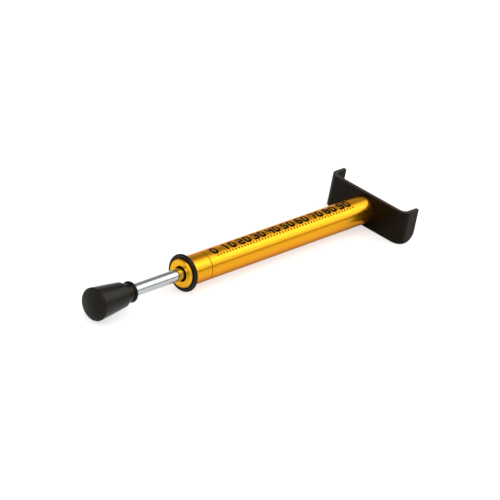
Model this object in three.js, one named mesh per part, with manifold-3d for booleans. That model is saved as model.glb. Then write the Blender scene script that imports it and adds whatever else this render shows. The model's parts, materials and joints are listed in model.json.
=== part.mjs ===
// Belt tension gauge: a sprung plunger in a round barrel, with a U-shaped cradle that cups the belt.
// Millimetres. +X runs along the barrel from the plunger's mouth to the cradle, +Y runs along the
// cradle and +Z is up. Stations are measured along +X from the front face of the barrel's cap.

import * as THREE from 'three';
import { mergeVertices } from 'three/addons/utils/BufferGeometryUtils.js';
import Module from 'manifold-3d';

const wasm = await Module();
wasm.setup();

// Clearances and edges
const fitGap = 0.3; // between pieces that touch
const ringGap = 0.2; // between the marker ring and the barrel it grips
const springBarrelGap = 0.875; // between the spring and the barrel's bore
const nutSpringGap = 0.8; // between the nut's corners and the spring around it
const cutOverrun = 2; // how far a cutting tool runs past the piece
const edgeBreak = 0.35; // chamfer on turned edges
const weldTolerance = 1e-4;

// Barrel and front cap, of one outer diameter
const barrelDiameter = 19.05;
const barrelWall = 1.65;
const barrelLength = 158.2;
const capHeadLength = 19.8;
const capSpigotLength = 12;
const capMouthDiameter = 10;
const capMouthDepth = 8;
const capFaceChamfer = 0.8;
const capSpigotWall = 1.6;
const bufferThickness = 2;

// Marker ring
const ringSection = 2.62; // across the barrel
const ringWidth = 2.3; // along it, less because the ring is stretched
const ringStation = 2.8;

// Plunger rod, and the piston that the spring pushes on
const rodDiameter = 8;
const rodExposedLength = 43.8; // between the knob and the barrel's front face at rest
const rodInKnobLength = 12.8;
const rodTipDiameter = 6;
const rodTipLength = 13.6;
const rodTailDiameter = 5;
const rodTailSpare = 1.6;
const pistonLength = 12;
const pistonGrooveWidth = 2;
const pistonGrooveDepth = 0.6;
const seatThickness = 1;
const seatRim = 0.4; // how far the seat washer stays inside the piston's outline
const lockThickness = 1.2;
const lockWall = 1.7;
const lockSplit = 1;
const nutHeight = 4;

// Knob and the hexagon insert moulded into it
const knobWideRadius = 10.7;
const knobWideInset = 2.6; // from the dome's tip to the widest ring
const knobEdgeRadius = 1.2;
const knobDomeHeight = 1.4;
const knobConeLength = 23.2;
const knobShoulderRadius = 8.14;
const knobShoulderRound = 0.8;
const knobNeckRadius = 5.9;
const knobBeadRadius = 6.9;
const knobBeadRound = 1.4;
const knobNeckLength = 5.8;
const insertAcrossFlats = 10.6;
const insertLength = 15;

// Spring
const springWire = 1.6;
const springTurns = 34;
const springClosedTurns = 1.5; // at each end
const springClosedGap = 0.5; // between the closed turns
const springSteps = 8; // per turn
const springSides = 5;

// Rear plug and shims
const plugLength = 20;
const shimThickness = 0.8;
const shimCount = 2;
const grubDiameter = 4;
const grubLength = 6;
const grubInset = 5; // from the plug's front face
const grubSink = 0.3;
const grubSocket = 2;
const grubSocketDepth = 2.2;

// Cradle, bent from flat strip
const cradleLength = 67.8;
const cradleWidth = 24.1;
const cradleThickness = 2.67;
const cradleDepth = 15.2; // from the plate's front face to the tabs' ends
const cradleBend = 6.27; // outer radius
const cradleTopCorner = 0.5;
const cradleLowCorner = 7.6;
const screwDiameter = 5;
const screwLength = 14;
const screwHeadDiameter = 9.2;
const screwHeadLand = 0.3;
const screwSocket = 3;
const screwSocketDepth = 1.7;
const screwHoleSpare = 1.2;

// Facets
const roundSides = 48;
const smallSides = 32;
const arcSteps = 4;
const bendSteps = 8;
const ringArcSteps = 10;

// Radii that follow from the sizes above
const barrelRadius = barrelDiameter / 2;
const boreRadius = barrelRadius - barrelWall;
const plugRadius = boreRadius - fitGap;
const rodRadius = rodDiameter / 2;
const rodHoleRadius = rodRadius + fitGap;
const bushRadius = plugRadius - capSpigotWall - fitGap;
const tailRadius = rodTailDiameter / 2;
const tailHoleRadius = tailRadius + fitGap;
const springRadius = boreRadius - springBarrelGap - springWire / 2;
const nutCornerRadius = springRadius - springWire / 2 - nutSpringGap;
const ringSectionRadius = ringSection / 2;
const ringOuterRadius = barrelRadius + ringGap + ringSection;
const screwRadius = screwDiameter / 2;
const screwHoleRadius = screwRadius + fitGap;
const grubHoleRadius = grubDiameter / 2 + fitGap;

// Stations that follow from the sizes above
const capEnd = capHeadLength + capSpigotLength;
const barrelStart = capHeadLength + fitGap;
const barrelEnd = barrelStart + barrelLength;
const bushStart = capMouthDepth + fitGap;
const bushLength = capEnd - fitGap - bushStart;
const bufferStart = capEnd + fitGap;
const rodShoulder = bufferStart + bufferThickness;
const pistonStart = rodShoulder + fitGap;
const seatStart = pistonStart + pistonLength + fitGap;
const lockStart = seatStart + seatThickness + fitGap;
const nutStart = lockStart + lockThickness + fitGap;
const rodTailEnd = nutStart + nutHeight + rodTailSpare;
const knobEnd = -rodExposedLength;
const rodShankStart = knobEnd - rodInKnobLength;
const insertStart = rodShankStart - fitGap - insertLength;
const plugStart = barrelEnd - plugLength;
const shimPitch = shimThickness + fitGap;
const springStart = lockStart;
const springEnd = plugStart - shimCount * shimPitch - fitGap;
const springLength = springEnd - springStart;
const grubStation = plugStart + grubInset;
const plateFront = barrelEnd + fitGap;
const plateBack = plateFront + cradleThickness;
const knobLength = knobWideInset + knobConeLength + knobNeckLength + 2 * knobBeadRound;
const knobStart = knobEnd - knobLength;
const cradleEnd = plateFront + cradleDepth;

// A body turned about X. The profile lists [station, radius] along the outside towards +X.
function turned(profile, sides) {
  const points = profile.map(([station, radius]) => new THREE.Vector2(radius, station));
  return new THREE.LatheGeometry(points, sides).rotateZ(-Math.PI / 2);
}

// A plain round bar from station 0, chamfered at both ends.
function bar(length, radius, sides, chamfer = 0) {
  return turned([
    [0, 0],
    [0, radius - chamfer],
    [chamfer, radius],
    [length - chamfer, radius],
    [length, radius - chamfer],
    [length, 0],
  ], sides);
}

// A plain sleeve or washer from station 0, chamfered outside at both ends.
function sleeve(length, outerRadius, innerRadius, sides, chamfer = 0) {
  return turned([
    [0, innerRadius],
    [0, outerRadius - chamfer],
    [chamfer, outerRadius],
    [length - chamfer, outerRadius],
    [length, outerRadius - chamfer],
    [length, innerRadius],
    [0, innerRadius],
  ], sides);
}

// Profile points on an arc about [station, radius], from one angle to another.
// Angle 0 points away from the axis and a quarter turn points along +X.
function arc(station, radius, size, from, to, steps = arcSteps) {
  return Array.from({ length: steps + 1 }, (_, step) => {
    const angle = from + (to - from) * step / steps;
    return [station + size * Math.sin(angle), radius + size * Math.cos(angle)];
  });
}

// A hexagon bar along +X from station 0, given by the radius to its corners.
function hexBar(length, cornerRadius) {
  return new THREE.CylinderGeometry(cornerRadius, cornerRadius, length, 6)
    .rotateZ(-Math.PI / 2)
    .translate(length / 2, 0, 0);
}

function hexCorner(acrossFlats) {
  return acrossFlats / Math.sqrt(3);
}

function toManifold(geometry) {
  const bare = geometry.clone();
  bare.deleteAttribute('normal');
  bare.deleteAttribute('uv');
  const welded = mergeVertices(bare, weldTolerance);
  const corners = Array.from(welded.index.array);
  const triangles = [];
  for (let i = 0; i < corners.length; i += 3) {
    const [a, b, c] = corners.slice(i, i + 3);
    if (a !== b && b !== c && c !== a) triangles.push(a, b, c);
  }
  return new wasm.Manifold(new wasm.Mesh({
    numProp: 3,
    vertProperties: welded.attributes.position.array,
    triVerts: Uint32Array.from(triangles),
  }));
}

function toGeometry(solid) {
  const mesh = solid.getMesh();
  const geometry = new THREE.BufferGeometry();
  geometry.setAttribute('position', new THREE.BufferAttribute(mesh.vertProperties, 3));
  geometry.setIndex(new THREE.BufferAttribute(mesh.triVerts, 1));
  geometry.computeVertexNormals();
  return geometry;
}

function cut(geometry, ...tools) {
  const solid = tools.reduce((body, tool) => body.subtract(toManifold(tool)), toManifold(geometry));
  return toGeometry(solid);
}

function common(first, second) {
  return toGeometry(toManifold(first).intersect(toManifold(second)));
}

function barrelTube() {
  const tube = sleeve(barrelLength, barrelRadius, boreRadius, roundSides);
  const grubHole = bar(barrelRadius + cutOverrun, grubHoleRadius, smallSides)
    .rotateY(Math.PI / 2)
    .translate(grubStation - barrelStart, 0, 0);
  return cut(tube, grubHole);
}

function frontCap() {
  const mouthRadius = capMouthDiameter / 2;
  const pocketRadius = bushRadius + fitGap;
  return turned([
    [edgeBreak, mouthRadius],
    [0, mouthRadius + edgeBreak],
    [0, barrelRadius - capFaceChamfer],
    [capFaceChamfer, barrelRadius],
    [capHeadLength, barrelRadius],
    [capHeadLength, plugRadius],
    [capEnd - edgeBreak, plugRadius],
    [capEnd, plugRadius - edgeBreak],
    [capEnd, pocketRadius],
    [capMouthDepth, pocketRadius],
    [capMouthDepth, mouthRadius],
    [edgeBreak, mouthRadius],
  ], roundSides);
}

function markerRing() {
  const centreRadius = ringOuterRadius - ringSectionRadius;
  const section = arc(0, centreRadius, ringSectionRadius, -Math.PI, Math.PI, ringArcSteps);
  section[ringArcSteps] = section[0];
  return turned(section.map(([station, radius]) => [station * ringWidth / ringSection, radius]), roundSides);
}

function plungerRod() {
  const tipRadius = rodTipDiameter / 2;
  return turned([
    [rodShankStart - rodTipLength, 0],
    [rodShankStart - rodTipLength, tipRadius - edgeBreak],
    [rodShankStart - rodTipLength + edgeBreak, tipRadius],
    [rodShankStart, tipRadius],
    [rodShankStart, rodRadius - edgeBreak],
    [rodShankStart + edgeBreak, rodRadius],
    [rodShoulder - edgeBreak, rodRadius],
    [rodShoulder, rodRadius - edgeBreak],
    [rodShoulder, tailRadius],
    [rodTailEnd - edgeBreak, tailRadius],
    [rodTailEnd, tailRadius - edgeBreak],
    [rodTailEnd, 0],
  ], smallSides);
}

// A moulded bobbin, with a groove round its middle that carries grease.
function guidePiston() {
  const grooveStart = (pistonLength - pistonGrooveWidth) / 2;
  const grooveEnd = grooveStart + pistonGrooveWidth;
  return turned([
    [0, tailHoleRadius],
    [0, plugRadius - edgeBreak],
    [edgeBreak, plugRadius],
    [grooveStart, plugRadius],
    [grooveStart, plugRadius - pistonGrooveDepth],
    [grooveEnd, plugRadius - pistonGrooveDepth],
    [grooveEnd, plugRadius],
    [pistonLength - edgeBreak, plugRadius],
    [pistonLength, plugRadius - edgeBreak],
    [pistonLength, tailHoleRadius],
    [0, tailHoleRadius],
  ], roundSides);
}

// A split spring washer.
function lockWasher() {
  const washer = sleeve(lockThickness, tailHoleRadius + lockWall, tailHoleRadius, smallSides);
  const reach = tailHoleRadius + lockWall + cutOverrun;
  const slit = new THREE.BoxGeometry(lockThickness + cutOverrun, reach, lockSplit)
    .translate(lockThickness / 2, reach / 2, 0);
  return cut(washer, slit);
}

// A hexagon nut, its corners chamfered at both ends.
function tailNut() {
  const rounded = bar(nutHeight, nutCornerRadius, smallSides, edgeBreak);
  const hole = bar(nutHeight + 2 * cutOverrun, tailHoleRadius, smallSides)
    .translate(-cutOverrun, 0, 0);
  return cut(common(hexBar(nutHeight, nutCornerRadius), rounded), hole);
}

// A domed cone with a shoulder, a neck and a rounded bead, hollow for the rod and the insert.
function knob() {
  const capRadius = knobWideRadius - knobEdgeRadius;
  const domeRadius = (capRadius ** 2 + knobDomeHeight ** 2) / (2 * knobDomeHeight);
  const domeAngle = Math.asin(capRadius / domeRadius);
  const wideStation = knobWideInset;
  const shoulderStation = wideStation + knobConeLength;
  const beadStation = knobLength - knobBeadRound;
  const dome = arc(domeRadius, 0, domeRadius, -Math.PI / 2, domeAngle - Math.PI / 2);
  const edge = arc(wideStation, capRadius, knobEdgeRadius, -Math.PI / 2, 0);
  const shoulder = arc(
    shoulderStation - knobShoulderRound, knobShoulderRadius - knobShoulderRound,
    knobShoulderRound, 0, Math.PI / 2);
  const bead = arc(beadStation, knobBeadRadius - knobBeadRound, knobBeadRound, -Math.PI / 3, Math.PI / 2);
  const body = turned([
    [0, 0],
    ...dome.slice(1),
    ...edge.slice(1),
    ...shoulder,
    [shoulderStation, knobNeckRadius],
    [bead[0][0] - edgeBreak, knobNeckRadius],
    ...bead,
    [knobLength, rodHoleRadius],
    [knobLength - rodInKnobLength, rodHoleRadius],
    [knobLength - rodInKnobLength, 0],
  ], roundSides);
  const pocketLength = insertLength + 2 * fitGap;
  const pocket = hexBar(pocketLength + edgeBreak, hexCorner(insertAcrossFlats + 2 * fitGap))
    .translate(knobLength - rodInKnobLength - pocketLength, 0, 0);
  return cut(body, pocket);
}

function knobInsert() {
  const hole = bar(insertLength + 2 * cutOverrun, rodTipDiameter / 2 + fitGap, smallSides)
    .translate(-cutOverrun, 0, 0);
  return cut(hexBar(insertLength, hexCorner(insertAcrossFlats)), hole);
}

// How far along the spring its wire's centre line lies after so many turns.
// The end turns lie close together and the rest share what is left evenly.
function springStation(turn) {
  const closedPitch = springWire + springClosedGap;
  const openTurns = springTurns - 2 * springClosedTurns;
  const closedLength = springClosedTurns * closedPitch;
  const openPitch = (springLength - springWire - 2 * closedLength) / openTurns;
  const closedBefore = Math.min(turn, springClosedTurns);
  const closedAfter = Math.max(turn - springTurns + springClosedTurns, 0);
  const open = turn - closedBefore - closedAfter;
  return springWire / 2 + (closedBefore + closedAfter) * closedPitch + open * openPitch;
}

function springPoints() {
  const wireRadius = springWire / 2;
  const count = springTurns * springSteps;
  const points = [];
  for (let ring = 0; ring <= count; ring += 1) {
    const turn = ring / springSteps;
    const angle = turn * 2 * Math.PI;
    for (let side = 0; side < springSides; side += 1) {
      const around = side / springSides * 2 * Math.PI;
      const reach = springRadius + wireRadius * Math.cos(around);
      points.push(new THREE.Vector3(
        springStation(turn) + wireRadius * Math.sin(around),
        reach * Math.cos(angle),
        reach * Math.sin(angle)));
    }
  }
  return points;
}

// The least distance between points of the wire that lie more than half a turn apart.
function leastSelfGap(points) {
  const apart = springSides * springSteps / 2;
  let least = Infinity;
  points.forEach((point, index) => {
    for (let other = index + apart; other < points.length; other += 1) {
      least = Math.min(least, point.distanceTo(points[other]));
    }
  });
  return least;
}

function compressionSpring() {
  const points = springPoints();
  console.log(`spring: least gap to itself ${leastSelfGap(points).toFixed(2)} mm`);
  const rings = points.length / springSides;
  const triangles = [];
  for (let ring = 0; ring < rings - 1; ring += 1) {
    for (let side = 0; side < springSides; side += 1) {
      const next = (side + 1) % springSides;
      const a = ring * springSides + side;
      const b = ring * springSides + next;
      triangles.push(a, a + springSides, b);
      triangles.push(b, a + springSides, b + springSides);
    }
  }
  const last = (rings - 1) * springSides;
  for (let side = 1; side < springSides - 1; side += 1) {
    triangles.push(0, side, side + 1);
    triangles.push(last, last + side + 1, last + side);
  }
  const geometry = new THREE.BufferGeometry().setFromPoints(points);
  geometry.setIndex(triangles);
  geometry.computeVertexNormals();
  return geometry;
}

// Drilled from behind for the cradle's screw and from below for the grub screw.
function rearPlug() {
  const plug = bar(plugLength, plugRadius, roundSides, edgeBreak);
  const drillDepth = screwLength - cradleThickness - fitGap + screwHoleSpare;
  const screwHole = bar(drillDepth + cutOverrun, screwHoleRadius, smallSides)
    .translate(plugLength - drillDepth, 0, 0);
  const grubHole = bar(grubLength + fitGap + cutOverrun, grubHoleRadius, smallSides)
    .rotateY(Math.PI / 2)
    .translate(grubInset, 0, -(barrelRadius - grubSink - grubLength - fitGap));
  return cut(plug, screwHole, grubHole);
}

// A socket grub screw along +X, its socket at the far end.
function grubScrew() {
  const screw = bar(grubLength, grubDiameter / 2, smallSides, edgeBreak);
  const socket = hexBar(grubSocketDepth + cutOverrun, hexCorner(grubSocket))
    .translate(grubLength - grubSocketDepth, 0, 0);
  return cut(screw, socket);
}

// A countersunk socket screw along +X, its head at the far end.
function cradleScrew() {
  const headRadius = screwHeadDiameter / 2;
  const coneStart = screwLength - screwHeadLand - (headRadius - screwRadius);
  const screw = turned([
    [0, 0],
    [0, screwRadius - edgeBreak],
    [edgeBreak, screwRadius],
    [coneStart, screwRadius],
    [screwLength - screwHeadLand, headRadius],
    [screwLength, headRadius],
    [screwLength, 0],
  ], smallSides);
  const socket = hexBar(screwSocketDepth + cutOverrun, hexCorner(screwSocket))
    .translate(screwLength - screwSocketDepth, 0, 0);
  return cut(screw, socket);
}

// The strip seen from above: a plate with a tab bent back from each end.
function cradleStrip() {
  const half = cradleLength / 2;
  const innerBend = cradleBend - cradleThickness;
  const bendEdge = half - cradleBend;
  const strip = new THREE.Shape();
  strip.moveTo(cradleDepth, half);
  strip.lineTo(cradleBend, half);
  strip.absarc(cradleBend, bendEdge, cradleBend, Math.PI / 2, Math.PI, false);
  strip.lineTo(0, -bendEdge);
  strip.absarc(cradleBend, -bendEdge, cradleBend, Math.PI, 3 * Math.PI / 2, false);
  strip.lineTo(cradleDepth, -half);
  strip.lineTo(cradleDepth, -half + cradleThickness);
  strip.lineTo(cradleBend, -half + cradleThickness);
  strip.absarc(cradleBend, -bendEdge, innerBend, 3 * Math.PI / 2, Math.PI, true);
  strip.lineTo(cradleThickness, bendEdge);
  strip.absarc(cradleBend, bendEdge, innerBend, Math.PI, Math.PI / 2, true);
  strip.lineTo(cradleDepth, half - cradleThickness);
  return new THREE.ExtrudeGeometry(strip, {
    depth: cradleWidth,
    bevelEnabled: false,
    curveSegments: bendSteps,
  }).translate(0, 0, -cradleWidth / 2);
}

// The strip seen from the side: the tabs' upper corners are nearly square and the lower ones round.
function cradleSide() {
  const half = cradleWidth / 2;
  const side = new THREE.Shape();
  side.moveTo(-cutOverrun, -half);
  side.lineTo(cradleDepth - cradleLowCorner, -half);
  side.absarc(
    cradleDepth - cradleLowCorner, cradleLowCorner - half, cradleLowCorner, -Math.PI / 2, 0, false);
  side.lineTo(cradleDepth, half - cradleTopCorner);
  side.absarc(
    cradleDepth - cradleTopCorner, half - cradleTopCorner, cradleTopCorner, 0, Math.PI / 2, false);
  side.lineTo(-cutOverrun, half);
  const depth = cradleLength + 2 * cutOverrun;
  return new THREE.ExtrudeGeometry(side, { depth, bevelEnabled: false, curveSegments: bendSteps })
    .rotateX(Math.PI / 2)
    .translate(0, depth / 2, 0);
}

function cradle() {
  const coneGap = fitGap * Math.SQRT2;
  const sinkRadius = screwHeadDiameter / 2 + coneGap;
  const sinkStart = cradleThickness - screwHeadLand - (sinkRadius - screwHoleRadius);
  const hole = turned([
    [-cutOverrun, 0],
    [-cutOverrun, screwHoleRadius],
    [sinkStart, screwHoleRadius],
    [cradleThickness - screwHeadLand, sinkRadius],
    [cradleThickness + cutOverrun, sinkRadius],
    [cradleThickness + cutOverrun, 0],
  ], smallSides);
  return cut(common(cradleStrip(), cradleSide()), hole);
}

const finishes = {
  gold: { color: 0xe9a51f, roughness: 0.28, metalness: 1 },
  zinc: { color: 0xc9ced2, roughness: 0.22, metalness: 1 },
  steel: { color: 0x9a9c9e, roughness: 0.4, metalness: 1 },
  springSteel: { color: 0x7c7f83, roughness: 0.35, metalness: 1 },
  aluminium: { color: 0xb8babd, roughness: 0.45, metalness: 1 },
  bronze: { color: 0xa8793c, roughness: 0.5, metalness: 1 },
  nylon: { color: 0xe6e2d4, roughness: 0.55, metalness: 0 },
  rubber: { color: 0x2b2925, roughness: 0.85, metalness: 0 },
  ringRubber: { color: 0x15161a, roughness: 0.45, metalness: 0 },
  blackCoat: { color: 0x221d18, roughness: 0.42, metalness: 0.1 },
};

function piece(name, geometry, finish, station = 0) {
  const mesh = new THREE.Mesh(geometry, new THREE.MeshStandardMaterial(finishes[finish]));
  mesh.name = name;
  mesh.position.x = station;
  return mesh;
}

function barrelGroup() {
  const group = new THREE.Group();
  group.add(piece('barrel_tube', barrelTube(), 'gold', barrelStart));
  group.add(piece('front_cap', frontCap(), 'gold'));
  const bush = sleeve(bushLength, bushRadius, rodHoleRadius, smallSides);
  group.add(piece('rod_bush', bush, 'bronze', bushStart));
  const buffer = sleeve(bufferThickness, plugRadius, rodHoleRadius, smallSides);
  group.add(piece('stop_buffer', buffer, 'rubber', bufferStart));
  group.add(piece('compression_spring', compressionSpring(), 'springSteel', springStart));
  for (let i = 0; i < shimCount; i += 1) {
    const shim = sleeve(shimThickness, plugRadius, tailHoleRadius, smallSides);
    group.add(piece(`preload_shim_${i + 1}`, shim, 'steel', springEnd + fitGap + i * shimPitch));
  }
  group.add(piece('rear_plug', rearPlug(), 'aluminium', plugStart));
  const grub = piece('plug_grub_screw', grubScrew(), 'steel', grubStation);
  grub.rotation.y = Math.PI / 2;
  grub.position.z = -(barrelRadius - grubSink - grubLength);
  group.add(grub);
  return group;
}

function plungerGroup() {
  const group = new THREE.Group();
  group.add(piece('plunger_rod', plungerRod(), 'zinc'));
  group.add(piece('knob', knob(), 'rubber', knobStart));
  group.add(piece('knob_insert', knobInsert(), 'steel', insertStart));
  group.add(piece('guide_piston', guidePiston(), 'nylon', pistonStart));
  const seat = sleeve(seatThickness, plugRadius - seatRim, tailHoleRadius, smallSides);
  group.add(piece('spring_seat_washer', seat, 'zinc', seatStart));
  group.add(piece('piston_lock_washer', lockWasher(), 'zinc', lockStart));
  group.add(piece('piston_nut', tailNut(), 'zinc', nutStart));
  return group;
}

function cradleGroup() {
  const group = new THREE.Group();
  group.add(piece('cradle', cradle(), 'blackCoat', plateFront));
  group.add(piece('cradle_screw', cradleScrew(), 'steel', plateBack - screwLength));
  return group;
}

// The whole stands on z 0, and its origin is below the middle of its box.
const gauge = new THREE.Group();
gauge.name = 'belt_tension_gauge';
gauge.position.x = -(knobStart + cradleEnd) / 2;
gauge.position.z = Math.max(ringOuterRadius, cradleWidth / 2);
gauge.add(barrelGroup());
gauge.add(plungerGroup());
gauge.add(piece('marker_ring', markerRing(), 'ringRubber', ringStation));
gauge.add(cradleGroup());

export default gauge;
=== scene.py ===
import json
import bmesh
import bpy
import numpy as np
from mathutils import Matrix, Vector

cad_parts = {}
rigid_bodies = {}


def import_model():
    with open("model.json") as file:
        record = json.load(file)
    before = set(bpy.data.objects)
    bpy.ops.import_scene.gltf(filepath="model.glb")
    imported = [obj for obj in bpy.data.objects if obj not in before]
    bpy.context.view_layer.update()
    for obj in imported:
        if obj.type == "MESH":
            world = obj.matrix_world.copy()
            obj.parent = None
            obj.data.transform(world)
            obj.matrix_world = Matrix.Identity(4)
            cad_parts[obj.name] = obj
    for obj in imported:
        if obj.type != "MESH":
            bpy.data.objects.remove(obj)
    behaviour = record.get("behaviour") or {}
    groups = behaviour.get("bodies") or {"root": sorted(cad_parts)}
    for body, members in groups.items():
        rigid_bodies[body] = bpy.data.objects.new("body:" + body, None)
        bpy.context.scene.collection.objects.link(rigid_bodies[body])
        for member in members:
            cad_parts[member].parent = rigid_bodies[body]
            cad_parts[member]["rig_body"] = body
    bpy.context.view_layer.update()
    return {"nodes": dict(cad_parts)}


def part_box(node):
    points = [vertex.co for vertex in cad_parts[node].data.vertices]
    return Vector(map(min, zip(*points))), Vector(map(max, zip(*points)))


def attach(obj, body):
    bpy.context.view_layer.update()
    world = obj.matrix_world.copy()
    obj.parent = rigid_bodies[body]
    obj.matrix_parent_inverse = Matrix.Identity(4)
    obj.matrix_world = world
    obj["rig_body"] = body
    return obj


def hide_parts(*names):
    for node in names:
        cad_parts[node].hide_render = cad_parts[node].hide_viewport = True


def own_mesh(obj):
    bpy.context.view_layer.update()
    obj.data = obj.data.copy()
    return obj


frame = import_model()
mm = 0.001  # sizes below are in millimetres where they are multiplied by this
fullTurn = 2 * np.pi
roundSteps = dict(tube=192, rod=128, screw=96, hole=64)  # places around a turned piece
sharpAngle = 32  # an edge stays sharp from this many degrees
print("frame loaded:", len(frame["nodes"]), "nodes")


# Where the pieces are, from the frame

def span(node):  # start and end along x, and the outer radius
    low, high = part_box(node)
    return low.x, high.x, (high.y - low.y) / 2


def middle(node):
    low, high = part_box(node)
    return (low + high) / 2


capHead = 19.8 * mm  # how much of the front cap stands outside the tube
axisHeight = middle("barrel_tube").z
barrelStart, barrelEnd, barrelRadius = span("barrel_tube")
fitGap = barrelStart - span("front_cap")[0] - capHead


# Shape helpers

def rounded(corners, steps=6, mostOfSide=0.49, least=1e-7):
    # Corners are [station, radius, rounding]. A corner P becomes the arc that touches both its sides: the
    # curve ((1-t)^2 S + 2 w t (1-t) P + t^2 E) / ((1-t)^2 + 2 w t (1-t) + t^2), from the touching point S
    # to the other one E, where w is the sine of half the corner's angle.
    corners = np.array(corners, float)
    point = corners[:, None, :2]
    before = np.roll(point, 1, 0) - point
    after = np.roll(point, -1, 0) - point
    sideBefore = np.linalg.norm(before, axis=2, keepdims=True)
    sideAfter = np.linalg.norm(after, axis=2, keepdims=True)
    before, after = before / sideBefore, after / sideAfter
    half = np.arccos(np.clip((before * after).sum(2, keepdims=True), -1, 1)) / 2
    side = np.minimum(sideBefore, sideAfter)
    reach = np.minimum(corners[:, None, 2:] / np.tan(half), mostOfSide * side)
    t = np.linspace(0, 1, steps + 1)[None, :, None]
    first, second, third = (1 - t) ** 2, 2 * np.sin(half) * t * (1 - t), t ** 2
    path = first * (point + before * reach) + second * point + third * (point + after * reach)
    path = (path / (first + second + third)).reshape(-1, 2)
    keep = np.r_[True, np.linalg.norm(np.diff(path, axis=0), axis=1) > least]
    return path[keep]


def arc(station, radius, size, start, end, steps):
    # Points at size x (sin a, cos a) from the centre [station, radius], for angles a from start to end in
    # degrees: 0 points away from the axis and 90 along +x.
    angle = np.radians(np.linspace(start, end, steps + 1))
    return np.stack([station + size * np.sin(angle), radius + size * np.cos(angle)], 1)


def closed(profile):
    return np.r_[profile, profile[:1]]


def hexShape(angle):  # how far a hexagon reaches at an angle, for a reach of 1 at its flats
    return 1 / np.cos((angle + np.pi / 6) % (np.pi / 3) - np.pi / 6)


def turned(profile, around=roundSteps["tube"], hexagon=0):
    # Ring i, place k is (station i, radius i x cos angle k, radius i x sin angle k) about the barrel's
    # axis. Where hexagon is 1 the ring is a hexagon with that radius to its flats.
    angle = np.arange(around) * fullTurn / around
    share = np.broadcast_to(np.asarray(hexagon, float), len(profile))[:, None]
    radius = profile[:, 1:2] * (1 - share + share * hexShape(angle)[None])
    station = np.broadcast_to(profile[:, :1], radius.shape)
    return np.stack([station, radius * np.cos(angle), radius * np.sin(angle) + axisHeight], 2)


def gridFaces(rows, columns):
    # The four-sided faces between neighbouring rings, each ring joined to its own start.
    row, column = np.meshgrid(np.arange(rows - 1), np.arange(columns), indexing="ij")
    following = (column + 1) % columns
    corners = [row * columns + column, row * columns + following,
               (row + 1) * columns + following, (row + 1) * columns + column]
    return np.stack(corners, 2).reshape(-1, 4)


def meshFrom(name, points, faces):
    mesh = bpy.data.meshes.new(name)
    faces = np.asarray(faces, np.int32)
    mesh.vertices.add(len(points))
    mesh.vertices.foreach_set("co", np.asarray(points, np.float32).ravel())
    mesh.loops.add(faces.size)
    mesh.loops.foreach_set("vertex_index", faces.ravel())
    mesh.polygons.add(len(faces))
    mesh.polygons.foreach_set("loop_start", np.arange(len(faces), dtype=np.int32) * faces.shape[1])
    mesh.update(calc_edges=True)
    return mesh


def ringMesh(name, rings):
    return meshFrom(name, rings.reshape(-1, 3), gridFaces(*rings.shape[:2]))


def closeUp(mesh, weld=2e-7):  # drops loose points, merges seams and poles, turns faces outwards
    work = bmesh.new()
    work.from_mesh(mesh)
    bmesh.ops.delete(work, geom=[point for point in work.verts if not point.link_faces], context="VERTS")
    bmesh.ops.remove_doubles(work, verts=work.verts, dist=weld)
    bmesh.ops.dissolve_degenerate(work, edges=work.edges, dist=weld)
    bmesh.ops.recalc_face_normals(work, faces=work.faces)
    work.to_mesh(mesh)
    work.free()
    return mesh


def setShare(mesh, name, share):  # a number from 0 to 1 at each point, for the finish to read
    mesh.attributes.new(name, "FLOAT", "POINT").data.foreach_set("value", share.astype(np.float32))


def addObject(name, data):
    thing = bpy.data.objects.new(name, data)
    bpy.context.scene.collection.objects.link(thing)
    return thing


def addPiece(name, mesh, body, slot, nodes=()):
    mesh.polygons.foreach_set("use_smooth", np.ones(len(mesh.polygons), bool))
    mesh.set_sharp_from_angle(angle=np.radians(sharpAngle))
    piece = addObject(name, mesh)
    shading = piece.modifiers.new("evenShading", "WEIGHTED_NORMAL")
    shading.keep_sharp = True
    mesh.materials.append(finishOf(slot))
    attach(piece, body)
    if nodes:
        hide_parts(*nodes)
    return piece


def addRings(name, rings, body, slot, nodes):
    return addPiece(name, closeUp(ringMesh(name, rings)), body, slot, nodes)


def finalMesh(thing):  # what its modifiers or curves give, as a mesh
    bpy.context.view_layer.update()
    return bpy.data.meshes.new_from_object(thing.evaluated_get(bpy.context.evaluated_depsgraph_get()))


# Finishes

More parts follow.
